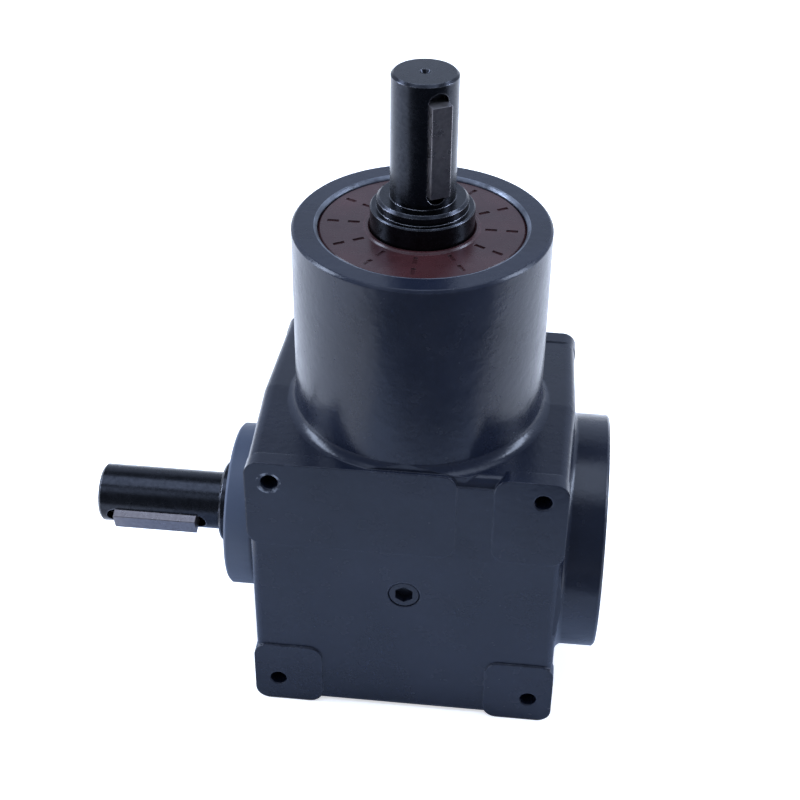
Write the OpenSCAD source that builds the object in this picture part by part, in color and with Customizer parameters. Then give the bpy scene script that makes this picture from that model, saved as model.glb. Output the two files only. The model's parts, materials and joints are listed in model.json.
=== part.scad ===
// Right angle bevel gearbox: a cast iron cube with a tall round neck for the vertical input shaft,
// a small boss for the horizontal output shaft and a wide round flange closed by an end cap.
// The origin is on the base, straight below the point where the two shaft axes meet.
// +Z is the input shaft, the output shaft points to -X and the front mounting face looks to -Y.

/* [Housing] */
// Height of the output shaft axis above the base
axis_height = 65.5; // [64.5:0.5:68]
// Half width of the cast body at its parting line
body_half_width = 64.5; // [64:0.25:66]
// Height of the cast body above the output axis, at its parting line
body_top = 64; // [63:0.5:66]
// Distance from the input axis to the plain front face
front_depth = 50.2; // [50.2:0.1:51]
// Distance from the input axis to the plain rear face
rear_depth = 54.7; // [53:0.1:58]
// How much each wall and the top draw in from the parting line to the front and rear faces
draft = 1.7; // [1:0.1:2]
// Radius of the long cast edges
long_edge_r = 5; // [3:0.5:6]
// Radius of the edges round the front and rear faces
face_edge_r = 4; // [3:0.5:5]
// How far the four mounting pads stand proud of a face
pad_proud = 1.3; // [1:0.1:2]
// How much less the plain faces stand back at the foot of the upper pads
face_crown = 1.25; // [0.8:0.05:1.25]
// Side of a mounting pad
pad_size = 29; // [27:0.5:30]
// Half width over the mounting pads
pad_half_span = 63.5; // [63:0.25:64]
// Distance between neighbouring mounting holes, both ways
hole_pitch = 107; // [105:0.5:108]
// Drilled radius of the M8 mounting holes
hole_r = 3.4; // [3.2:0.1:4]
// Depth of the mounting holes
hole_depth = 18; // [12:1:20]

/* [Neck, boss and flange] */
// Outer radius of the input neck
neck_r = 50; // [49.5:0.1:50]
// Top of the input neck above the output axis
neck_top = 144; // [143:0.5:150]
// Outer radius of the output boss
boss_r = 35; // [34.5:0.5:38]
// Face of the output boss, measured from the input axis
boss_end = 78; // [77.5:0.5:80]
// Outer radius of the closed side flange
flange_r = 49.5; // [48:0.5:49.5]
// Face of the closed side flange, measured from the input axis
flange_end = 79.5; // [79.5:0.5:82]

/* [Shafts] */
// Radius of both keyed shaft ends
shaft_r = 12.5; // [12:0.5:13]
// Radius of the shaft shoulders that a hub rests against
shoulder_r = 17.5; // [17:0.25:17.5]
// Tip of the input shaft above the output axis
input_tip = 205.5; // [203:0.5:212]
// Tip of the output shaft, measured from the input axis
output_tip = 138; // [135:0.5:145]
// Top of the input shaft shoulder above the output axis
input_shoulder = 156; // [154:0.5:158]
// Face of the output shaft shoulder, measured from the input axis
output_shoulder = 84; // [82:0.5:86]
// Length of the keys in the shaft ends
key_length = 36; // [30:1:36]
// Direction of the input shaft key, turned from the front towards +X
input_key_angle = 30; // [0:1:90]
// Direction of the output shaft key, turned from the front downwards
output_key_angle = 16; // [0:1:90]

/* [Gears] */
// Number of teeth on each bevel gear, an even number
teeth = 18; // [16:2:20]
// Pitch radius of both bevel gears at the large end
pitch_r = 36; // [34:0.5:36]
// Length of the teeth along the pitch cone
face_width = 14; // [10:0.5:15]
// Play between the meshed teeth at the large end
backlash = 0.4; // [0.3:0.05:0.6]

/* [Hidden] */
$fn = 96;
hull_fn = 32;
eps = 0.01;

// Surfaces that only rest against each other keep this much air
fit_gap = 0.01;
// Gap between a turning surface and the seal lip round it
lip_gap = 0.1;

// Bearings: [bore radius, outer radius, width, ball radius, number of balls]
bearing_6208 = [20, 40, 18, 6, 9];
bearing_6307 = [17.5, 40, 21, 6.75, 8];
bearing_6207 = [17.5, 36, 17, 5.55, 9];
// Air between a ball and its raceway
ball_gap = 0.15;

// Stations along the input axis, above the output axis
hub_back = 49;
shim_t = 1;
shim_play = 0.05;
lower_bearing_z = hub_back;
spacer_length = 38;
upper_bearing_z = lower_bearing_z + bearing_6208[2] + spacer_length;
neck_circlip_z = upper_bearing_z + bearing_6208[2];
seal_t = 10;
seal_recess = 1.2;
input_seal_z = neck_top - seal_recess - seal_t;
seal_land_top = 152;
ledge_r = 33;
ledge_bottom = 43;

// Stations along the output axis, from the input axis
right_bearing_x = hub_back;
flange_circlip_x = right_bearing_x + bearing_6307[2];
cap_recess = 0.8;
cap_t = 6;
left_shoulder_x = -64;
left_bearing_x = left_shoulder_x + shim_t;
collar_x = left_bearing_x + bearing_6207[2];
collar_t = 5;
collar_r = 21;
output_seal_r = 31;
output_seal_x = -boss_end + 0.8;
output_end = 74;
shoulder_t = 3;
shoulder_window_r = 26;
output_shim_r = 30;

// Mounting faces: height of the crown line and of the upper pads' foot above the output axis
crown_z = 22;
// Right hand end of the long land at the top left of the front face
land_right = 20;
// The web between that land and the next pad stands back by this much and stops short of the top
web_back = 0.4;
web_drop = 5;
// The rear holes are this much smaller, so each blind hole keeps a wall of its own
rear_hole_step = 0.02;
countersink = 0.4;

// Circlips: thickness and groove depths
shaft_circlip_t = 1.75;
gear_circlip_t = 1.5;
bore_circlip_t = 2.5;
bore_groove_r = 41.75;
groove_play = 0.1;
shaft_groove_depth = 1.1;
// Widest radius of the rings on the shafts, and inner radius of the rings in the bores
land_circlip_r = 23.5;
shaft_circlip_r = 20;
bore_circlip_r = 36;

// Inside of the housing
cavity_half_width = 46;
cavity_front = 42.5;
cavity_rear = 46.5;
cavity_bottom = 56;
cavity_top = 44;
cavity_r = 10;

// Plug ports
plug_r = 6.55;
plug_hex = 7;
plug_recess = 0.3;
plug_length = 7;

// Keys: width, height, depth of the slot in the shaft
end_key = [8, 7, 4];
gear_key = [10, 8, 5];
gear_key_length = 16;
gear_key_top = hub_back - 1;
key_end_gap = 4;
input_key_z = 162;
output_key_x = 130.5;

// Bevel gear teeth by the back cone method, for two equal gears at a right angle
cone_angle = 45;
pressure_angle = 20;
tooth_module = 2 * pitch_r / teeth;
back_r = pitch_r / cos(cone_angle);
base_r = back_r * cos(pressure_angle);
root_r = back_r - 1.25 * tooth_module;
tip_r = back_r + tooth_module;
toe_scale = (back_r - face_width) / back_r;
toe_face_r = 21.6;
toe_face_z = 2 * pitch_r * toe_scale - toe_face_r;
hub_r = 28;
hub_shoulder_z = 2 * pitch_r - hub_r;
shaft_end_z = toe_face_z - gear_circlip_t - groove_play - 1.5;

housing_colour = "#2c313d";
steel_colour = "#23262b";
bright_colour = "#9a9ca0";
gear_colour = "#74777c";
seal_colour = "#5a3330";

// ---------- placing ----------

module at_axes() {
    translate([0, 0, axis_height]) children();
}

// Local +Z becomes +X, local +Y stays
module on_output_axis() {
    at_axes() rotate([0, 90, 0]) children();
}

// Local +X points along the input key, local +Z up
module along_input_key() {
    at_axes() rotate([0, 0, input_key_angle - 90]) children();
}

// Local +X points along the output key, local +Z towards the output shaft tip
module along_output_key() {
    at_axes() rotate([output_key_angle, 0, 0]) rotate([0, -90, 0]) rotate([0, 0, -90]) children();
}

// ---------- general shapes ----------

module ring(outer_r, inner_r, height) {
    difference() {
        cylinder(r = outer_r, h = height);
        translate([0, 0, -1]) cylinder(r = inner_r, h = height + 2);
    }
}

// Turned cylinder with a chamfer round its top
module chamfered_cylinder(r, height, chamfer) {
    rotate_extrude()
        polygon([[0, 0], [r, 0], [r, height - chamfer], [r - chamfer, height], [0, height]]);
}

// Cone that breaks the mouth of a bore, with the mouth at z = 0 and the bore below
module mouth_chamfer(r, chamfer) {
    translate([0, 0, -chamfer])
        cylinder(r1 = r, r2 = r + chamfer + eps, h = chamfer + eps);
}

// Lathe centre in the end of a shaft, with the end face at z = 0 and the shaft below
module lathe_centre() {
    pilot_r = 1;
    pilot_depth = 6;
    mouth_r = 2.2;
    cone_depth = 2;
    translate([0, 0, -pilot_depth]) cylinder(r = pilot_r, h = pilot_depth + eps, $fn = 32);
    translate([0, 0, -cone_depth])
        cylinder(r1 = pilot_r, r2 = mouth_r, h = cone_depth + eps, $fn = 32);
}

// Slot with round ends, cut from outside into a shaft along its local +X side
module key_slot(key, radius, z_low, z_high) {
    half = key[0] / 2;
    floor_x = radius - key[2];
    translate([floor_x, 0, 0]) rotate([0, 90, 0]) {
        translate([-z_high + half, -half, 0]) cube([z_high - z_low - 2 * half, 2 * half, key[2] + 2]);
        for (z = [z_low + half, z_high - half])
            translate([-z, 0, 0]) cylinder(r = half, h = key[2] + 2, $fn = 48);
    }
}

// Square ended key with broken long edges, standing in its slot on the local +X side
module square_key(key, radius, z_low, length) {
    half = key[0] / 2 - fit_gap;
    bevel = 0.3;
    low = radius - key[2] + fit_gap;
    high = radius - key[2] + key[1];
    translate([0, 0, z_low]) linear_extrude(length)
        polygon([
            [low, -half], [high - bevel, -half], [high, bevel - half],
            [high, half - bevel], [high - bevel, half], [low, half]
        ]);
}

// Round ended key for a gear seat
module round_key(key, radius, z_low, z_high) {
    half = key[0] / 2 - 2 * fit_gap;
    end_offset = half + 2 * fit_gap;
    translate([radius - key[2] + fit_gap, 0, 0]) rotate([0, 90, 0]) linear_extrude(key[1] - fit_gap) {
        translate([-z_high + end_offset, -half]) square([z_high - z_low - 2 * end_offset, 2 * half]);
        for (z = [z_low + end_offset, z_high - end_offset])
            translate([-z, 0]) circle(r = half, $fn = 48);
    }
}

// Open snap ring with two lugs for pliers. inward puts the lugs on its inner side.
module circlip(outer_r, inner_r, thickness, inward) {
    lug_r = inward ? 3.2 : 2.1;
    lug_hole_r = inward ? 1.25 : 1;
    gap = 6;
    lug_ring_r = inward ? inner_r - 1 : outer_r - 0.7;
    lug_angle = asin((gap / 2 + lug_r) / lug_ring_r);
    linear_extrude(thickness) difference() {
        union() {
            difference() {
                circle(r = outer_r);
                circle(r = inner_r);
                translate([0, -gap / 2]) square([outer_r + 1, gap]);
            }
            for (side = [-1, 1]) rotate([0, 0, side * lug_angle])
                translate([lug_ring_r, 0]) circle(r = lug_r, $fn = 32);
        }
        for (side = [-1, 1]) rotate([0, 0, side * lug_angle])
            translate([lug_ring_r, 0]) circle(r = lug_hole_r, $fn = 24);
        if (!inward) circle(r = inner_r);
        if (inward) difference() {
            circle(r = outer_r + 5);
            circle(r = outer_r);
        }
    }
}

// ---------- ball bearings, from z = 0 to their width ----------

function ball_circle_r(b) = (b[0] + b[1]) / 2;
function land_offset(b) = b[3] * 0.6;

module bearing_outer_ring(b) {
    low_r = ball_circle_r(b) + land_offset(b);
    high_r = b[1] - fit_gap;
    chamfer = 1.2;
    rotate_extrude() difference() {
        polygon([
            [low_r, 0], [high_r - chamfer, 0], [high_r, chamfer],
            [high_r, b[2] - chamfer], [high_r - chamfer, b[2]], [low_r, b[2]]
        ]);
        translate([ball_circle_r(b), b[2] / 2]) circle(r = b[3] + ball_gap);
    }
}

module bearing_inner_ring(b) {
    low_r = b[0] + fit_gap;
    high_r = ball_circle_r(b) - land_offset(b);
    chamfer = 1.2;
    rotate_extrude() difference() {
        polygon([
            [low_r, chamfer], [low_r + chamfer, 0], [high_r, 0],
            [high_r, b[2]], [low_r + chamfer, b[2]], [low_r, b[2] - chamfer]
        ]);
        translate([ball_circle_r(b), b[2] / 2]) circle(r = b[3] + ball_gap);
    }
}

module each_ball(b) {
    for (i = [0 : b[4] - 1])
        rotate([0, 0, i * 360 / b[4]]) translate([ball_circle_r(b), 0, b[2] / 2]) children();
}

module bearing_balls(b) {
    each_ball(b) sphere(r = b[3], $fn = 48);
}

module bearing_cage(b) {
    half_t = 1.2;
    height = 2 * b[3] + 2.4;
    difference() {
        translate([0, 0, (b[2] - height) / 2])
            ring(ball_circle_r(b) + half_t, ball_circle_r(b) - half_t, height);
        each_ball(b) rotate([0, 90, 0])
            cylinder(r = b[3] + ball_gap, h = 4 * half_t, center = true, $fn = 48);
    }
}

module input_lower_place() {
    at_axes() translate([0, 0, lower_bearing_z]) children();
}

module input_upper_place() {
    at_axes() translate([0, 0, upper_bearing_z]) children();
}

module output_left_place() {
    on_output_axis() translate([0, 0, left_bearing_x]) children();
}

module output_right_place() {
    on_output_axis() translate([0, 0, right_bearing_x]) children();
}

// ---------- housing ----------

// Heights of the centres of the rounded corners at the foot, crown line and top of a plain face
face_stations = [-axis_height + face_edge_r - 0.5, crown_z, body_top - draft - face_edge_r];

// How far a plain face stands out at height z below the crown line, beyond its foot and top
function crown_at(z) = face_crown * (z - face_stations[0]) / (face_stations[1] - face_stations[0]);

// Cast block: widest and highest at the parting line, which is the plane of the two shaft axes.
// Its two plain faces are crowned a little below their top.
module cast_block() {
    corner_x = body_half_width - draft - face_edge_r;
    clip = 200;
    intersection() {
        hull() for (side = [-1, 1]) {
            for (z = [-axis_height + long_edge_r - 0.5, body_top - long_edge_r])
                translate([side * (body_half_width - long_edge_r), 0, z]) rotate([90, 0, 0])
                    cylinder(r = long_edge_r, h = 0.2, center = true, $fn = hull_fn);
            for (i = [0 : 2]) for (depth = [-front_depth, rear_depth])
                translate([side * corner_x, 0, face_stations[i]])
                    translate([0, sign(depth) * (abs(depth) - face_edge_r + (i == 1 ? face_crown : 0)), 0])
                        sphere(r = face_edge_r, $fn = hull_fn);
        }
        translate([-clip / 2, -clip / 2, -axis_height]) cube(clip);
    }
}

// Fillet where a round boss of radius r rises from a drafted wall that lies at height h
module drafted_fillet(r, h, fillet_r) {
    overlap = 2;
    skirt = 6;
    bite = 0.25;
    reach = r + fillet_r + 1;
    draft_angle = atan(draft / front_depth);
    translate([0, 0, h]) for (side = [-1, 1]) intersection() {
        rotate([-side * draft_angle, 0, 0]) rotate_extrude() translate([r - overlap, -skirt])
            difference() {
                square([overlap + fillet_r - bite, skirt + fillet_r - bite]);
                translate([overlap + fillet_r - bite, skirt + fillet_r - bite]) circle(r = fillet_r);
            }
        translate([-reach, side < 0 ? -neck_r : 0, -2 * skirt]) cube([2 * reach, neck_r, 4 * skirt]);
    }
}

// Mounting pad with round corners, centred on its hole, from z = 0 down
module mounting_pad(width_x, width_y, depth) {
    corner_r = 6;
    translate([0, 0, -depth]) linear_extrude(depth) {
        square([width_x, width_y - 2 * corner_r], center = true);
        square([width_x - 2 * corner_r, width_y], center = true);
        for (x = [-1, 1]) for (y = [-1, 1])
            translate([x * (width_x / 2 - corner_r), y * (width_y / 2 - corner_r)])
                circle(r = corner_r, $fn = 48);
    }
}

// Runs its children at the four holes of one face, with local +Z out of the face.
// direction is -1 for the front face and 1 for the rear face.
module each_mounting_hole(direction) {
    face_y = direction < 0 ? -front_depth - pad_proud : rear_depth + pad_proud;
    for (x = [-1, 1]) for (z = [-1, 1])
        translate([x * hole_pitch / 2, face_y, z * hole_pitch / 2])
            rotate([direction < 0 ? 90 : -90, 0, 0]) children();
}

// Blind hole from z = 0 down, with a broken edge
module mounting_hole(r) {
    translate([0, 0, -hole_depth]) cylinder(r = r, h = hole_depth + 1, $fn = 48);
    mouth_chamfer(r, countersink);
}

// The two lower pads are square. The upper ones run down to the crown line. On the front face the
// left hand one is a long land that reaches past the middle, and a thin web joins it to the other.
module mounting_pads(direction) {
    pad_depth = 7;
    inner = pad_half_span - pad_size;
    pad_top = pad_half_span - 0.7;
    face_y = direction < 0 ? -front_depth - pad_proud : rear_depth + pad_proud;
    pads = [
        [-pad_half_span, -inner, -axis_height, -inner],
        [inner, pad_half_span, -axis_height, -inner],
        [-pad_half_span, direction < 0 ? land_right : -inner, crown_z, pad_top],
        [inner, pad_half_span, crown_z, pad_top]
    ];
    for (pad = pads)
        translate([(pad[0] + pad[1]) / 2, face_y, (pad[2] + pad[3]) / 2])
            rotate([direction < 0 ? 90 : -90, 0, 0])
                mounting_pad(pad[1] - pad[0], pad[3] - pad[2], pad_depth);
    if (direction < 0)
        translate([(land_right + inner) / 2, face_y + web_back, (crown_z + pad_top - web_drop) / 2])
            rotate([90, 0, 0])
                mounting_pad(pad_size, pad_top - web_drop - crown_z, pad_depth - web_back);
}

module housing_outside() {
    boss_fillet_r = 4;
    flange_fillet_r = 3.5;
    neck_fillet_r = 5.5;
    root = 20;
    at_axes() {
        cast_block();
        for (direction = [-1, 1]) mounting_pads(direction);
        translate([0, 0, body_top - root]) chamfered_cylinder(neck_r, neck_top - body_top + root, 1);
        drafted_fillet(neck_r, body_top, neck_fillet_r);
    }
    on_output_axis() {
        translate([0, 0, body_half_width - root])
            chamfered_cylinder(flange_r, flange_end - body_half_width + root, 1);
        drafted_fillet(flange_r, body_half_width, flange_fillet_r);
        mirror([0, 0, 1]) {
            translate([0, 0, body_half_width - root])
                chamfered_cylinder(boss_r, boss_end - body_half_width + root, 1);
            drafted_fillet(boss_r, body_half_width, boss_fillet_r);
        }
    }
}

module cavity() {
    hull() for (x = [-1, 1]) for (z = [-cavity_bottom + cavity_r, cavity_top - cavity_r])
        translate([x * (cavity_half_width - cavity_r), cavity_rear, z])
            rotate([90, 0, 0])
                cylinder(r = cavity_r, h = cavity_rear + cavity_front, $fn = hull_fn);
}

module input_bore() {
    translate([0, 0, ledge_bottom]) cylinder(r = ledge_r, h = hub_back - ledge_bottom);
    translate([0, 0, hub_back - shim_t]) cylinder(r = bearing_6208[1], h = neck_top - hub_back + 2);
    translate([0, 0, neck_circlip_z])
        cylinder(r = bore_groove_r, h = bore_circlip_t + groove_play);
    translate([0, 0, neck_top]) mouth_chamfer(bearing_6208[1], 1);
}

module output_bores() {
    // flange side, wide enough to pass the gear
    translate([0, 0, cavity_half_width - 2])
        cylinder(r = bearing_6307[1], h = flange_end - cavity_half_width + 4);
    translate([0, 0, flange_circlip_x])
        cylinder(r = bore_groove_r, h = bore_circlip_t + groove_play);
    translate([0, 0, flange_end]) mouth_chamfer(bearing_6307[1], 1);
    // boss side: bearing seat from inside, seal seat from outside and a thin shoulder between
    translate([0, 0, left_shoulder_x])
        cylinder(r = bearing_6207[1], h = -left_shoulder_x - cavity_half_width + 2);
    translate([0, 0, left_shoulder_x - shoulder_t - 1]) 
        cylinder(r = shoulder_window_r, h = shoulder_t + 2);
    translate([0, 0, -boss_end - 2])
        cylinder(r = output_seal_r, h = boss_end + left_shoulder_x - shoulder_t + 2);
    translate([0, 0, -boss_end]) mirror([0, 0, 1]) mouth_chamfer(output_seal_r, 0.8);
}

// Tapped ports of the level plug and the filler plug
module plug_ports() {
    port_depth = 13;
    port_chamfer = 0.3;
    for (wall = [[-front_depth - crown_at(0), 90], [rear_depth + crown_at(0), -90]])
        translate([0, wall[0], 0]) rotate([wall[1], 0, 0]) {
            translate([0, 0, -port_depth])
                cylinder(r = plug_r + fit_gap, h = port_depth + 1, $fn = 64);
            mouth_chamfer(plug_r + fit_gap, port_chamfer);
        }
}

module housing() {
    color(housing_colour) difference() {
        housing_outside();
        at_axes() {
            cavity();
            input_bore();
            plug_ports();
            each_mounting_hole(-1) mounting_hole(hole_r);
            each_mounting_hole(1) mounting_hole(hole_r - rear_hole_step);
        }
        on_output_axis() output_bores();
    }
}

// Socket plug with its outer face at z = 0
module socket_plug() {
    socket_depth = 4;
    color(housing_colour) difference() {
        translate([0, 0, -plug_length]) chamfered_cylinder(plug_r, plug_length, 0.6, $fn = 64);
        translate([0, 0, -socket_depth]) rotate([0, 0, 90])
            cylinder(d = plug_hex / cos(30), h = socket_depth + 1, $fn = 6);
    }
}

module level_plug() {
    at_axes() translate([0, plug_recess - front_depth - crown_at(0), 0])
        rotate([90, 0, 0]) socket_plug();
}

module filler_plug() {
    at_axes() translate([0, rear_depth + crown_at(0) - plug_recess, 0])
        rotate([-90, 0, 0]) socket_plug();
}

// ---------- input shaft group ----------

module input_shaft() {
    land_r = bearing_6208[0];
    chamfer = 1;
    color(steel_colour) difference() {
        at_axes() rotate_extrude() polygon([
            [0, shaft_end_z], [shoulder_r - chamfer, shaft_end_z], [shoulder_r, shaft_end_z + chamfer],
            [shoulder_r, hub_back], [land_r, hub_back],
            [land_r, seal_land_top - chamfer / 2], [land_r - chamfer / 2, seal_land_top],
            [shoulder_r, seal_land_top],
            [shoulder_r, input_shoulder - chamfer], [shoulder_r - chamfer, input_shoulder],
            [shaft_r, input_shoulder],
            [shaft_r, input_tip - chamfer], [shaft_r - chamfer, input_tip], [0, input_tip]
        ]);
        at_axes() {
            translate([0, 0, input_tip]) lathe_centre();
            translate([0, 0, shaft_end_z]) mirror([0, 0, 1]) lathe_centre();
            translate([0, 0, neck_circlip_z]) ring(
                land_r + 1, land_r - shaft_groove_depth, shaft_circlip_t + groove_play);
            translate([0, 0, toe_face_z - gear_circlip_t - groove_play]) ring(
                shoulder_r + 1, shoulder_r - shaft_groove_depth, gear_circlip_t + groove_play);
            key_slot(gear_key, shoulder_r, gear_key_top - gear_key_length, gear_key_top);
        }
        along_input_key() key_slot(
            end_key, shaft_r, input_key_z - key_end_gap, input_key_z + key_length + key_end_gap);
    }
}

module input_shaft_key() {
    color(bright_colour) along_input_key() square_key(end_key, shaft_r, input_key_z, key_length);
}

module input_gear_key() {
    color(bright_colour) at_axes()
        round_key(gear_key, shoulder_r, gear_key_top - gear_key_length, gear_key_top);
}

// Ring that holds a gear on its shaft, just below the gear's toe face
module gear_circlip() {
    translate([0, 0, toe_face_z - gear_circlip_t]) circlip(
        shaft_circlip_r, shoulder_r - shaft_groove_depth + fit_gap, gear_circlip_t - fit_gap, false);
}

module input_gear_circlip() {
    color(steel_colour) at_axes() rotate([0, 0, 200]) gear_circlip();
}

module input_bearing_spacer() {
    spacer_wall = 4;
    color(steel_colour) at_axes() translate([0, 0, lower_bearing_z + bearing_6208[2]])
        ring(bearing_6208[0] + spacer_wall, bearing_6208[0] + fit_gap, spacer_length);
}

module input_shaft_circlip() {
    color(steel_colour) at_axes() translate([0, 0, neck_circlip_z + fit_gap]) rotate([0, 0, 90])
        circlip(
            land_circlip_r, bearing_6208[0] - shaft_groove_depth + fit_gap, shaft_circlip_t, false);
}

module input_shim() {
    color(bright_colour) at_axes() translate([0, 0, hub_back - shim_t])
        ring(bearing_6208[1] - shim_play, ledge_r + 1, shim_t);
}

module bore_circlip() {
    circlip(bore_groove_r - 0.2, bore_circlip_r, bore_circlip_t, true);
}

module neck_circlip() {
    color(steel_colour) at_axes() translate([0, 0, neck_circlip_z + fit_gap]) rotate([0, 0, -90])
        bore_circlip();
}

// Garter spring: distance outside the lip, height in the seal and wire radius
spring_offset = 3.4;
spring_z = 2.2;
spring_r = 0.9;

// Rubber ring with a flat face, a raised dust lip round the shaft, a sealing lip inside
// and a groove for its garter spring. The face is at z = seal_t.
module seal_ring(outer_r, shaft_surface_r) {
    lip_r = shaft_surface_r + lip_gap;
    outer = outer_r - fit_gap;
    web = 3;
    neck = 2.4;
    bead = 0.7;
    rotate_extrude() difference() {
        polygon([
            [outer, 0], [outer, seal_t - 1], [outer - 1, seal_t],
            [lip_r + neck, seal_t], [lip_r + neck - bead, seal_t + bead],
            [lip_r + bead, seal_t + bead], [lip_r, seal_t], [lip_r, seal_t - 1.6],
            [lip_r + neck, seal_t - web], [lip_r + neck, 5], [lip_r, 3.4],
            [lip_r + 1, 1.4], [lip_r + 2.2, 1.4], [lip_r + 5, 0.4],
            [lip_r + 5, seal_t - web], [outer - web, seal_t - web], [outer - web, 0]
        ]);
        translate([lip_r + spring_offset, spring_z]) circle(r = spring_r + 0.05, $fn = 48);
    }
}

module seal_spring(shaft_surface_r) {
    rotate_extrude()
        translate([shaft_surface_r + lip_gap + spring_offset, spring_z]) circle(r = spring_r, $fn = 32);
}

// Short radial dashes pressed into the face of the input seal, in two rings
module seal_face_marks() {
    mark_width = 1.6;
    mark_length = 4.5;
    mark_depth = 0.5;
    marks = 12;
    for (start_r = [24, 32]) for (i = [0 : marks - 1])
        rotate([0, 0, i * 360 / marks]) translate([start_r, -mark_width / 2, seal_t - mark_depth])
            cube([mark_length, mark_width, mark_depth + 1]);
}

module input_oil_seal() {
    color(seal_colour) at_axes() translate([0, 0, input_seal_z]) difference() {
        seal_ring(bearing_6208[1], bearing_6208[0]);
        seal_face_marks();
    }
}

module input_seal_spring() {
    color(bright_colour) at_axes() translate([0, 0, input_seal_z]) seal_spring(bearing_6208[0]);
}

module input_lower_bearing_outer_ring() {
    color(bright_colour) input_lower_place() bearing_outer_ring(bearing_6208);
}

module input_lower_bearing_inner_ring() {
    color(bright_colour) input_lower_place() bearing_inner_ring(bearing_6208);
}

module input_lower_bearing_balls() {
    color(bright_colour) input_lower_place() bearing_balls(bearing_6208);
}

module input_lower_bearing_cage() {
    color(gear_colour) input_lower_place() bearing_cage(bearing_6208);
}

module input_upper_bearing_outer_ring() {
    color(bright_colour) input_upper_place() bearing_outer_ring(bearing_6208);
}

module input_upper_bearing_inner_ring() {
    color(bright_colour) input_upper_place() bearing_inner_ring(bearing_6208);
}

module input_upper_bearing_balls() {
    color(bright_colour) input_upper_place() bearing_balls(bearing_6208);
}

module input_upper_bearing_cage() {
    color(gear_colour) input_upper_place() bearing_cage(bearing_6208);
}

// ---------- bevel gears ----------

function involute_angle(r) = let (a = acos(base_r / r)) tan(a) * 180 / PI - a;

// Half of the angle that a tooth takes up on the back cone at radius r
function tooth_half_angle(r) =
    let (pitch_half = 45 * (tooth_module - backlash / PI) / back_r)
    pitch_half + involute_angle(back_r) - involute_angle(max(r, base_r + eps));

// Point of a flank: side is -1 or 1, centre is the tooth's direction on the gear
function flank_point(r, side, centre) =
    let (turn = centre + side * tooth_half_angle(r) / cos(cone_angle))
    [r * cos(cone_angle) * cos(turn), r * cos(cone_angle) * sin(turn), 2 * pitch_r - r * sin(cone_angle)];

flank_radii = [root_r, base_r + eps, back_r - 0.4, back_r + 1.8, tip_r];
flank_steps = len(flank_radii);
ring_points = 2 * flank_steps * teeth;

// Outline of all the teeth at the large end, round the gear
tooth_outline = [
    for (i = [0 : teeth - 1]) for (side = [-1, 1]) for (k = [0 : flank_steps - 1])
        flank_point(flank_radii[side < 0 ? k : flank_steps - 1 - k], side, i * 360 / teeth)
];

// A flat sided ring with a point under each point of the outline, its sides touching radius r
function side_ring(r, z) = [
    for (p = tooth_outline)
        let (turn = atan2(p[1], p[0])) [r * cos(turn), r * sin(turn), z]
];

// Both gears are alike: teeth, back cone, hub and a pilot bore with flat sides
module gear_blank() {
    pilot_r = 14;
    rings = [
        tooth_outline,
        side_ring(hub_r, hub_shoulder_z),
        side_ring(hub_r, hub_back),
        side_ring(pilot_r, hub_back),
        side_ring(pilot_r, toe_face_z),
        side_ring(toe_face_r, toe_face_z),
        toe_scale * tooth_outline
    ];
    last = len(rings);
    polyhedron(
        points = [for (one = rings) each one],
        faces = [
            for (j = [0 : last - 1]) for (i = [0 : ring_points - 1])
                let (
                    a = j * ring_points + i,
                    b = j * ring_points + (i + 1) % ring_points,
                    c = ((j + 1) % last) * ring_points + (i + 1) % ring_points,
                    d = ((j + 1) % last) * ring_points + i
                )
                each [[a, c, b], [a, d, c]]
        ],
        convexity = 10
    );
}

// Gear with its apex at the origin and its hub up, and a keyway on the local +X side
module bevel_gear() {
    keyway_depth = gear_key[1] - gear_key[2] + 0.3;
    keyway_half = gear_key[0] / 2 + fit_gap;
    bore_play = 0.06;
    color(gear_colour) difference() {
        gear_blank();
        translate([0, 0, toe_face_z - 1])
            cylinder(r = shoulder_r + bore_play, h = hub_back - toe_face_z + 2);
        translate([0, -keyway_half, toe_face_z - 1])
            cube([shoulder_r + keyway_depth, 2 * keyway_half, hub_back - toe_face_z + 2]);
    }
}

module input_bevel_gear() {
    at_axes() bevel_gear();
}

// Half a tooth further round, so that the teeth mesh
module turned_to_mesh() {
    rotate([0, 0, 180 / teeth]) children();
}

module output_bevel_gear() {
    on_output_axis() turned_to_mesh() bevel_gear();
}

// ---------- output shaft group ----------

module output_shaft() {
    chamfer = 1;
    color(steel_colour) difference() {
        on_output_axis() rotate_extrude() polygon([
            [0, -output_tip], [shaft_r - chamfer, -output_tip], [shaft_r, chamfer - output_tip],
            [shaft_r, -output_shoulder], [shoulder_r - chamfer, -output_shoulder],
            [shoulder_r, chamfer - output_shoulder],
            [shoulder_r, collar_x], [collar_r, collar_x], [collar_r, collar_x + collar_t],
            [shoulder_r, collar_x + collar_t],
            [shoulder_r, output_end - chamfer], [shoulder_r - chamfer, output_end], [0, output_end]
        ]);
        on_output_axis() {
            translate([0, 0, -output_tip]) mirror([0, 0, 1]) lathe_centre();
            translate([0, 0, output_end]) lathe_centre();
            translate([0, 0, toe_face_z - gear_circlip_t - groove_play]) ring(
                shoulder_r + 1, shoulder_r - shaft_groove_depth, gear_circlip_t + groove_play);
            translate([0, 0, flange_circlip_x]) ring(
                shoulder_r + 1, shoulder_r - shaft_groove_depth, gear_circlip_t + groove_play);
            turned_to_mesh()
                key_slot(gear_key, shoulder_r, gear_key_top - gear_key_length, gear_key_top);
        }
        along_output_key() key_slot(
            end_key, shaft_r, output_key_x - key_length - key_end_gap, output_key_x + key_end_gap);
    }
}

module output_shaft_key() {
    color(bright_colour) along_output_key()
        square_key(end_key, shaft_r, output_key_x - key_length, key_length);
}

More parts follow.
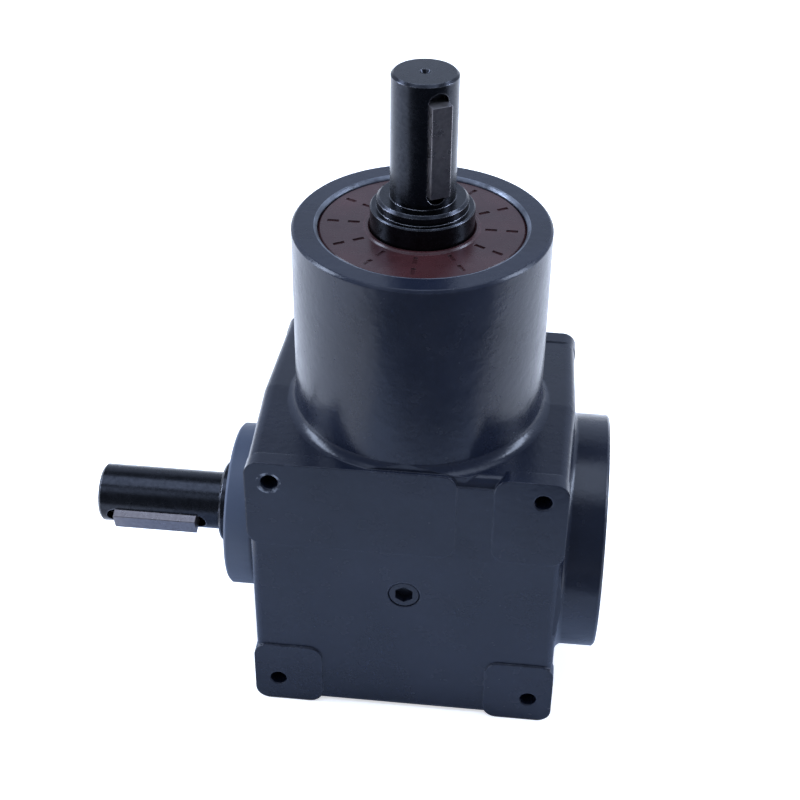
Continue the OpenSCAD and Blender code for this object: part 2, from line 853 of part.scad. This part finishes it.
module output_gear_key() {
    color(bright_colour) on_output_axis() turned_to_mesh()
        round_key(gear_key, shoulder_r, gear_key_top - gear_key_length, gear_key_top);
}

module output_gear_circlip() {
    color(steel_colour) on_output_axis() rotate([0, 0, 20]) gear_circlip();
}

module output_shaft_circlip() {
    color(steel_colour) on_output_axis() translate([0, 0, flange_circlip_x + fit_gap])
        circlip(shaft_circlip_r, shoulder_r - shaft_groove_depth + fit_gap, gear_circlip_t, false);
}

module output_shim() {
    color(bright_colour) on_output_axis() translate([0, 0, left_shoulder_x])
        ring(bearing_6207[1] - shim_play, output_shim_r, shim_t);
}

module flange_circlip() {
    color(steel_colour) on_output_axis() translate([0, 0, flange_circlip_x + fit_gap])
        rotate([0, 0, 180]) bore_circlip();
}

// Pressed cup that closes the flange, rubber covered
module end_cap() {
    skin = 2.2;
    dish = 1;
    outer = bearing_6307[1] - fit_gap;
    rim = outer - 10;
    floor_r = rim - 2;
    face = flange_end - cap_recess;
    color(steel_colour) on_output_axis() rotate_extrude() polygon([
        [0, face - dish], [floor_r, face - dish], [rim, face], [outer - 1, face],
        [outer, face - 1], [outer, face - cap_t], [outer - skin, face - cap_t],
        [outer - skin, face - skin], [rim, face - skin], [floor_r, face - skin - dish],
        [0, face - skin - dish]
    ]);
}

module output_oil_seal() {
    color(seal_colour) on_output_axis() translate([0, 0, output_seal_x + seal_t]) mirror([0, 0, 1])
        seal_ring(output_seal_r, shoulder_r);
}

module output_seal_spring() {
    color(bright_colour) on_output_axis() translate([0, 0, output_seal_x + seal_t])
        mirror([0, 0, 1]) seal_spring(shoulder_r);
}

module output_left_bearing_outer_ring() {
    color(bright_colour) output_left_place() bearing_outer_ring(bearing_6207);
}

module output_left_bearing_inner_ring() {
    color(bright_colour) output_left_place() bearing_inner_ring(bearing_6207);
}

module output_left_bearing_balls() {
    color(bright_colour) output_left_place() bearing_balls(bearing_6207);
}

module output_left_bearing_cage() {
    color(gear_colour) output_left_place() bearing_cage(bearing_6207);
}

module output_right_bearing_outer_ring() {
    color(bright_colour) output_right_place() bearing_outer_ring(bearing_6307);
}

module output_right_bearing_inner_ring() {
    color(bright_colour) output_right_place() bearing_inner_ring(bearing_6307);
}

module output_right_bearing_balls() {
    color(bright_colour) output_right_place() bearing_balls(bearing_6307);
}

module output_right_bearing_cage() {
    color(gear_colour) output_right_place() bearing_cage(bearing_6307);
}

// ---------- nodes ----------

housing();
level_plug();
filler_plug();
input_shaft();
input_shaft_key();
input_bevel_gear();
input_gear_key();
input_gear_circlip();
input_bearing_spacer();
input_shaft_circlip();
input_shim();
neck_circlip();
input_oil_seal();
input_seal_spring();
input_lower_bearing_outer_ring();
input_lower_bearing_inner_ring();
input_lower_bearing_balls();
input_lower_bearing_cage();
input_upper_bearing_outer_ring();
input_upper_bearing_inner_ring();
input_upper_bearing_balls();
input_upper_bearing_cage();
output_shaft();
output_shaft_key();
output_bevel_gear();
output_gear_key();
output_gear_circlip();
output_shaft_circlip();
output_shim();
flange_circlip();
end_cap();
output_oil_seal();
output_seal_spring();
output_left_bearing_outer_ring();
output_left_bearing_inner_ring();
output_left_bearing_balls();
output_left_bearing_cage();
output_right_bearing_outer_ring();
output_right_bearing_inner_ring();
output_right_bearing_balls();
output_right_bearing_cage();
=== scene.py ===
"""Right angle bevel gearbox: materials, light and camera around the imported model. All sizes in metres."""

import json
import math

import bpy
from mathutils import Matrix, Vector


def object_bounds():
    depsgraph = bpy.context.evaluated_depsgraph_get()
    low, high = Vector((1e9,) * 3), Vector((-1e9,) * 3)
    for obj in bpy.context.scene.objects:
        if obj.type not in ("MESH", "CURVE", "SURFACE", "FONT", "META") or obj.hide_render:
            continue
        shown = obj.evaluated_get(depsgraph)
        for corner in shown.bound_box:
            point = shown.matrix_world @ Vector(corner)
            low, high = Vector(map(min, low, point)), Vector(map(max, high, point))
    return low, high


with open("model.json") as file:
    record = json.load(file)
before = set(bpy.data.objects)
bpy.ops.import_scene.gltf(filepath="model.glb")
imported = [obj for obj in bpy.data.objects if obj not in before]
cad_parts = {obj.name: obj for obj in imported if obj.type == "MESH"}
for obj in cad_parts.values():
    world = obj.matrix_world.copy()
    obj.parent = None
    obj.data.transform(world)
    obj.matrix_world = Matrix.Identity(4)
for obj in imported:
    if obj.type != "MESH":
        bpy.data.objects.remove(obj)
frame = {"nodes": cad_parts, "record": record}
cad_low, cad_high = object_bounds()
NODES = frame["nodes"]

# ---------- camera, at the photograph's viewing angle ----------

CAMERA_PLACE = Vector((0.04594, -0.51859, 0.49631))
CAMERA_AZIMUTH = 5.911
CAMERA_ELEVATION = 35.366
CAMERA_ROLL = 0.664
CAMERA_LENS = 69.86


def add_camera():
    data = bpy.data.cameras.new("camera")
    data.lens = CAMERA_LENS
    data.sensor_width = 36
    data.clip_start = 0.01
    data.clip_end = 60
    camera = bpy.data.objects.new("camera", data)
    bpy.context.scene.collection.objects.link(camera)
    a = math.radians(CAMERA_AZIMUTH)
    e = math.radians(CAMERA_ELEVATION)
    back = Vector((math.sin(a) * math.cos(e), -math.cos(a) * math.cos(e), math.sin(e)))
    level = (-back).to_track_quat("-Z", "Y").to_matrix().to_4x4()
    roll = Matrix.Rotation(math.radians(CAMERA_ROLL), 4, "Z")
    camera.matrix_world = Matrix.Translation(CAMERA_PLACE) @ level @ roll
    bpy.context.scene.camera = camera


add_camera()

# ---------- helpers that build node trees ----------


class Tree:
    """Adds nodes to a material's or world's node tree. Any value may be another node's output."""

    def __init__(self, tree):
        self.tree = tree

    def feed(self, socket, value):
        if isinstance(value, bpy.types.NodeSocket):
            self.tree.links.new(value, socket)
        elif socket.type == "RGBA":
            socket.default_value = (*value, 1.0)
        else:
            socket.default_value = value

    def add(self, kind, inputs=None):
        """A new node whose inputs, given by name or number, are fed."""
        node = self.tree.nodes.new("ShaderNode" + kind)
        for key, value in (inputs or {}).items():
            self.feed(node.inputs[key], value)
        return node

    def math(self, operation, a, b=0.0):
        node = self.add("Math", {0: a, 1: b})
        node.operation = operation
        return node.outputs[0]

    def vector_math(self, operation, a, b):
        node = self.add("VectorMath", {0: a, 1: b})
        node.operation = operation
        return node.outputs["Value"] if operation in ("DOT_PRODUCT", "DISTANCE") else node.outputs["Vector"]

    def ramp(self, value, low, high, out_low=0.0, out_high=1.0, shape="LINEAR"):
        """Runs from out_low to out_high as the value runs from low to high, and stays level outside."""
        node = self.add("MapRange", {"Value": value, "From Min": low, "From Max": high,
                                     "To Min": out_low, "To Max": out_high})
        node.interpolation_type = shape
        return node.outputs["Result"]

    def split(self, vector):
        """The X, Y and Z outputs of a vector."""
        return self.add("SeparateXYZ", {0: vector}).outputs


class Paint(Tree):
    """One material on object coordinates."""

    def __init__(self, name):
        self.name = name
        self.material = bpy.data.materials.new(name)
        self.material.use_nodes = True
        super().__init__(self.material.node_tree)
        self.shader = self.tree.nodes["Principled BSDF"]
        self.place = self.add("TexCoord").outputs["Object"]

    def set(self, **values):
        """Feed the shader's inputs, such as Base_Color and Roughness."""
        for name, value in values.items():
            self.feed(self.shader.inputs[name.replace("_", " ")], value)

    def source(self, name):
        """The output that already feeds a shader input."""
        return self.shader.inputs[name].links[0].from_socket

    def noise(self, scale, detail=3.0, roughness=0.55):
        """Noise with features of about 1 / scale metres."""
        node = self.add("TexNoise", {"Vector": self.place, "Scale": scale, "Detail": detail,
                                     "Roughness": roughness})
        return node.outputs["Fac"]

    def mix(self, amount, a, b):
        node = self.tree.nodes.new("ShaderNodeMix")
        node.data_type = "RGBA"
        colours = {s.name: s for s in node.inputs if s.type == "RGBA"}
        self.feed(node.inputs["Factor"], amount)
        self.feed(colours["A"], a)
        self.feed(colours["B"], b)
        return [s for s in node.outputs if s.type == "RGBA"][0]

    def rounded_normal(self, radius):
        """The surface normal, as if sharp edges had this radius."""
        bevel = self.add("Bevel", {"Radius": radius})
        bevel.samples = 6
        return bevel.outputs["Normal"]

    def edges(self, radius):
        """0 on open surface, towards 1 within radius of a sharp edge."""
        plain = self.add("NewGeometry").outputs["Normal"]
        likeness = self.vector_math("DOT_PRODUCT", self.rounded_normal(radius), plain)
        return self.ramp(likeness, 1.0, 0.75)

    def bump(self, *layers, soften):
        """Each layer is (height from 0 to 1, depth). soften rounds sharp edges by that radius."""
        normal = self.rounded_normal(soften)
        for height, depth in layers:
            bump = self.add("Bump", {"Height": height, "Strength": 1.0, "Distance": depth, "Normal": normal})
            normal = bump.outputs["Normal"]
        self.set(Normal=normal)

    def along(self, axis):
        """Object coordinate along an axis."""
        return self.split(self.place)[axis]

    def facing(self, axis):
        """1 where the surface faces along an axis either way, 0 where it runs along it."""
        normal = self.add("TexCoord").outputs["Normal"]
        return self.math("ABSOLUTE", self.split(normal)[axis])

    def distance(self, axis, through=(0, 0, 0)):
        """Distance from a line along an axis through a point."""
        across = [0.0 if name == axis else 1.0 for name in "XYZ"]
        centre = [value * use for value, use in zip(through, across)]
        flat = self.vector_math("MULTIPLY", self.place, across)
        return self.vector_math("DISTANCE", flat, centre)

    def band(self, value, low, high, fade):
        """1 between two values and 0 outside them."""
        rise = self.ramp(value, low - fade, low)
        fall = self.ramp(value, high, high + fade, 1.0, 0.0)
        return self.math("MULTIPLY", rise, fall)


# ---------- materials ----------

# places on the housing where its colour is changed: scraped spots and painted highlights
FRONT_FACE = cad_low[1]
AXIS_HEIGHT = 0.0655
NECK_TOP = 0.2095
NECK_BORE_RADIUS = 0.04
BOSS_ROOT = -0.066
HOLE_REACH = 0.0535
HOLE_RADIUS = 0.0034

ENAMEL_IOR = 1.37
ENAMEL_DEEP = (0.006, 0.0085, 0.017)
ENAMEL_PALE = (0.0095, 0.0125, 0.0235)
ENAMEL_SPECK = (0.02, 0.025, 0.04)
# a lighter enamel tone for sharp edges
ENAMEL_EDGE_TONE = (0.08, 0.09, 0.12)
# lighter enamel on the output boss: a painted highlight
ENAMEL_BOSS_HIGHLIGHT = (0.06, 0.075, 0.11)
# unpainted iron, which on the neck bore's chamfer also stands in for a painted highlight
BARE_IRON_AND_HIGHLIGHT = (0.26, 0.28, 0.32)
SCUFF_AND_GLINT_STEEL = (0.3, 0.3, 0.32)
# paler steel for the keys' sawn ends: a painted highlight
SAWN_END_HIGHLIGHT = (0.36, 0.34, 0.34)


def scraped_and_highlit_places(p):
    """1 where paint is scraped off: a ring round the upper left front hole, and the neck bore's chamfer,
    whose unpainted iron is also a painted highlight.
    """
    # a broken lighter line on the neck bore's chamfer: unpainted iron and a painted highlight
    chamfer_patches = p.ramp(p.noise(60, 4, 0.6), 0.35, 0.65, 0.15, 0.75)
    neck_rim = p.band(p.distance("Z"), NECK_BORE_RADIUS - 0.0004, NECK_BORE_RADIUS + 0.0013, 0.0002)
    near_top = p.ramp(p.along("Z"), NECK_TOP - 0.0017, NECK_TOP - 0.0013)
    chamfer_bare_and_highlight = p.math("MULTIPLY", chamfer_patches, p.math("MULTIPLY", near_top, neck_rim))
    patchy = p.ramp(p.noise(240, 3, 0.6), 0.46, 0.6, 0.0, 0.7)
    off_centre = 0.0003
    centre = (-HOLE_REACH - off_centre, 0, AXIS_HEIGHT + HOLE_REACH - off_centre)
    hole_ring = p.band(p.distance("Y", centre), HOLE_RADIUS - 0.0001, HOLE_RADIUS + 0.0014, 0.0004)
    front = p.ramp(p.along("Y"), FRONT_FACE + 0.0001, FRONT_FACE + 0.0015, 1.0, 0.0)
    scrape = p.math("MULTIPLY", patchy, p.math("MULTIPLY", hole_ring, front))
    return p.math("MAXIMUM", chamfer_bare_and_highlight, scrape)


def housing_enamel():
    """Dark blue enamel over cast iron, rougher on the output boss, where its lighter colour is a painted
    highlight.
    """
    p = Paint("housing_enamel")
    base = p.mix(p.ramp(p.noise(26, 3, 0.6), 0.35, 0.7), ENAMEL_DEEP, ENAMEL_PALE)
    base = p.mix(p.ramp(p.noise(520, 3, 0.6), 0.62, 0.8, 0.0, 0.5), base, ENAMEL_SPECK)
    # lighter in patches within 1.2 mm of sharp edges
    lighter_edges = p.math("MULTIPLY", p.edges(0.0012), p.ramp(p.noise(180, 4, 0.7), 0.35, 0.65))
    base = p.mix(p.math("MULTIPLY", lighter_edges, 0.5), base, ENAMEL_EDGE_TONE)
    # the output boss gets rougher paint and a lighter colour that is a painted highlight
    boss = p.ramp(p.along("X"), BOSS_ROOT - 0.0015, BOSS_ROOT, 1.0, 0.0)
    base = p.mix(boss, base, ENAMEL_BOSS_HIGHLIGHT)
    rough = p.ramp(p.noise(90, 3, 0.6), 0.3, 0.7, 0.2, 0.3)
    rough = p.math("ADD", rough, p.math("MULTIPLY", boss, 0.2))
    # unpainted iron where scraped; on the neck bore's chamfer also a painted highlight
    bare_and_highlit = scraped_and_highlit_places(p)
    p.set(Base_Color=p.mix(bare_and_highlit, base, BARE_IRON_AND_HIGHLIGHT), Metallic=p.math("MULTIPLY", bare_and_highlit, 0.6),
          Roughness=p.math("ADD", rough, p.math("MULTIPLY", bare_and_highlit, 0.1)), IOR=ENAMEL_IOR)
    p.bump((p.noise(330, 2, 0.5), 0.00008), (p.noise(900, 2, 0.6), 0.00003), soften=0.0008)
    return p


def plug_steel():
    """Socket screws painted over with the housing."""
    p = Paint("plug_steel")
    p.set(Base_Color=p.mix(p.noise(400), (0.006, 0.008, 0.015), (0.012, 0.015, 0.026)),
          Roughness=p.ramp(p.noise(300), 0.3, 0.7, 0.25, 0.35), IOR=ENAMEL_IOR)
    p.bump((p.noise(900), 0.00004), soften=0.0004)
    return p


def metal(name, dark, light, smooth, dull):
    """Bare metal between two colours and two roughnesses."""
    p = Paint(name)
    marks = p.noise(600, 3, 0.6)
    p.set(Base_Color=p.mix(p.ramp(marks, 0.3, 0.7), dark, light),
          Roughness=p.ramp(p.noise(240, 3, 0.6), 0.3, 0.7, smooth, dull), Metallic=1.0)
    p.bump((marks, 0.00001), soften=0.0003)
    return p


def shaft_steel():
    """Blackened steel, lighter along its edges: scuffed steel that is also a painted glint on the chamfers.
    """
    p = metal("shaft_steel", (0.02, 0.0215, 0.026), (0.031, 0.033, 0.039), 0.22, 0.3)
    # lighter along the edges: scuffs and a painted glint
    glints_and_scuffs = p.math("MULTIPLY", p.edges(0.0006), p.ramp(p.noise(150), 0.35, 0.6, 0.4, 1.0))
    p.set(Base_Color=p.mix(glints_and_scuffs, p.source("Base Color"), SCUFF_AND_GLINT_STEEL))
    return p


def key_steel():
    """Bright drawn bar with rougher sawn ends, whose paler colour is a painted highlight."""
    p = metal("key_steel", (0.16, 0.145, 0.15), (0.21, 0.195, 0.2), 0.25, 0.35)
    # sawn ends: paler as a painted highlight, and rougher
    end = p.ramp(p.math("MAXIMUM", p.facing("X"), p.facing("Z")), 0.985, 0.998)
    p.set(Base_Color=p.mix(end, p.source("Base Color"), SAWN_END_HIGHLIGHT),
          Roughness=p.math("ADD", p.source("Roughness"), p.math("MULTIPLY", end, 0.15)))
    return p


def seal_rubber():
    """Brown nitrile rubber."""
    p = Paint("seal_rubber")
    p.set(Base_Color=p.mix(p.ramp(p.noise(60), 0.3, 0.7), (0.032, 0.011, 0.012), (0.046, 0.015, 0.016)),
          Roughness=p.ramp(p.noise(200), 0.3, 0.7, 0.22, 0.34), IOR=1.38)
    p.bump((p.noise(1200), 0.00003), soften=0.0003)
    return p


def cap_rubber():
    """Black rubber."""
    p = Paint("cap_rubber")
    p.set(Base_Color=p.mix(p.noise(80), (0.012, 0.013, 0.016), (0.03, 0.032, 0.038)),
          Roughness=p.ramp(p.noise(300), 0.3, 0.7, 0.45, 0.65))
    p.bump((p.noise(1200), 0.00004), soften=0.0004)
    return p


PAINTS = [
    housing_enamel(),
    plug_steel(),
    shaft_steel(),
    key_steel(),
    seal_rubber(),
    cap_rubber(),
    metal("gear_steel", (0.3, 0.3, 0.31), (0.42, 0.42, 0.43), 0.25, 0.4),
    metal("spring_steel", (0.05, 0.05, 0.055), (0.09, 0.09, 0.095), 0.35, 0.5),
    metal("spacer_steel", (0.35, 0.35, 0.36), (0.45, 0.45, 0.46), 0.3, 0.45),
    metal("shim_steel", (0.5, 0.5, 0.48), (0.6, 0.6, 0.58), 0.25, 0.35),
    metal("garter_spring", (0.4, 0.4, 0.41), (0.55, 0.55, 0.56), 0.25, 0.4),
    metal("bearing_steel", (0.5, 0.5, 0.51), (0.6, 0.6, 0.61), 0.12, 0.2),
    metal("cage_steel", (0.4, 0.38, 0.34), (0.5, 0.48, 0.44), 0.3, 0.45),
]
MATERIALS = {paint.name: paint.material for paint in PAINTS}
for part in frame["record"]["subparts"]:
    mesh = NODES[part["node"]].data
    mesh.materials.clear()
    mesh.materials.append(MATERIALS[part["material_slot"]])

# ---------- floor and light ----------

FLOOR_REACH = 12
FLOOR_HEIGHT = -0.0002
SKY = (0.66, 0.77, 1.0)
SKY_BRIGHT = 1.15
SKY_DIM = 0.3
BACKDROP = 1.2
CENTRE = (0, 0, 0.1)


def add_sheet(name, corners, paint):
    """A flat sheet, given by its corners in order."""
    mesh = bpy.data.meshes.new(name)
    mesh.from_pydata(corners, [], [(0, 1, 2, 3)])
    mesh.materials.append(paint.material)
    sheet = bpy.data.objects.new(name, mesh)
    bpy.context.scene.collection.objects.link(sheet)
    return sheet


def rectangle(left, right, front, rear, height):
    return [(left, front, height), (right, front, height), (right, rear, height), (left, rear, height)]


def white_floor():
    p = Paint("floor")
    p.set(Base_Color=(0.9, 0.9, 0.9), Roughness=0.6, Emission_Color=(1, 1, 1), Emission_Strength=0.6)
    return p


def add_card(name, corners, paint):
    """A card just above the floor that shows only in reflections, as a studio flag does."""
    card = add_sheet(name, corners, paint)
    card.visible_camera = False
    card.visible_diffuse = False
    card.visible_shadow = False
    card.visible_transmission = False


def dark_felt():
    p = Paint("dark_felt")
    p.set(Base_Color=(0.06, 0.065, 0.075), Roughness=1.0)
    return p


def floor_shade_glow():
    """Glows less towards the object: a painted reflection of the lit floor, with the floor's shade near the
    object painted in.
    """
    p = Paint("floor_shade_glow")
    p.set(Base_Color=(0.6, 0.67, 0.8), Roughness=1.0, Emission_Color=(0.8, 0.9, 1),
          Emission_Strength=p.ramp(p.along("Y"), -0.2, -0.06, 0.3, 0.0))
    return p


def add_softbox(name, place, aim, size, watts):
    data = bpy.data.lights.new(name, "AREA")
    data.shape = "RECTANGLE"
    data.size, data.size_y = size
    data.energy = watts
    data.color = SKY
    light = bpy.data.objects.new(name, data)
    bpy.context.scene.collection.objects.link(light)
    light.location = place
    light.rotation_mode = "QUATERNION"
    light.rotation_quaternion = (Vector(aim) - Vector(place)).to_track_quat("-Z", "Y")


def set_world():
    """Bright low behind the object and dim elsewhere. The camera itself sees plain white."""
    world = bpy.data.worlds.new("world")
    bpy.context.scene.world = world
    world.use_nodes = True
    t = Tree(world.node_tree)
    direction = t.split(t.add("TexCoord").outputs["Generated"])
    behind = t.ramp(direction["Y"], -0.5, 0.3, shape="SMOOTHSTEP")
    low = t.ramp(direction["Z"], 0.62, 0.8, 1.0, 0.0, shape="SMOOTHSTEP")
    glow = t.math("MULTIPLY", t.math("MULTIPLY", behind, low), SKY_BRIGHT - SKY_DIM)
    background = t.tree.nodes["Background"]
    t.feed(background.inputs["Color"], SKY)
    t.feed(background.inputs["Strength"], t.math("ADD", glow, SKY_DIM))
    white = t.add("Background", {"Strength": BACKDROP})
    seen = t.add("LightPath").outputs["Is Camera Ray"]
    choose = t.add("MixShader", {0: seen, 1: background.outputs[0], 2: white.outputs[0]})
    t.feed(t.tree.nodes["World Output"].inputs["Surface"], choose.outputs[0])


add_sheet("floor", rectangle(-FLOOR_REACH, FLOOR_REACH, -FLOOR_REACH, FLOOR_REACH, FLOOR_HEIGHT),
          white_floor())
set_world()
add_card("far_card", [(-1.8, -2.5, 0.001), (2, -2.5, 0.001), (2, 0.47, 0.001), (-1.8, -0.86, 0.001)],
         dark_felt())
# a glowing card seen only in reflections: painted light of the floor, fading to painted shade near the
# object
add_card("near_card", rectangle(-0.15, 0.19, -0.32, 0.1, 0.0005), floor_shade_glow())
add_softbox("top", (0, -0.07, 1.6), (0, -0.07, 0.1), (1.6, 1.0), watts=16)
add_softbox("front_left", (-0.75, -1.05, 1.35), CENTRE, (0.7, 0.6), watts=2.5)
add_softbox("left", (-1.4, 0, 0.8), CENTRE, (0.4, 1.1), watts=25)
add_softbox("right", (1.4, 0.2, 0.8), CENTRE, (0.4, 1.1), watts=22)
bpy.context.scene.view_settings.view_transform = "Standard"
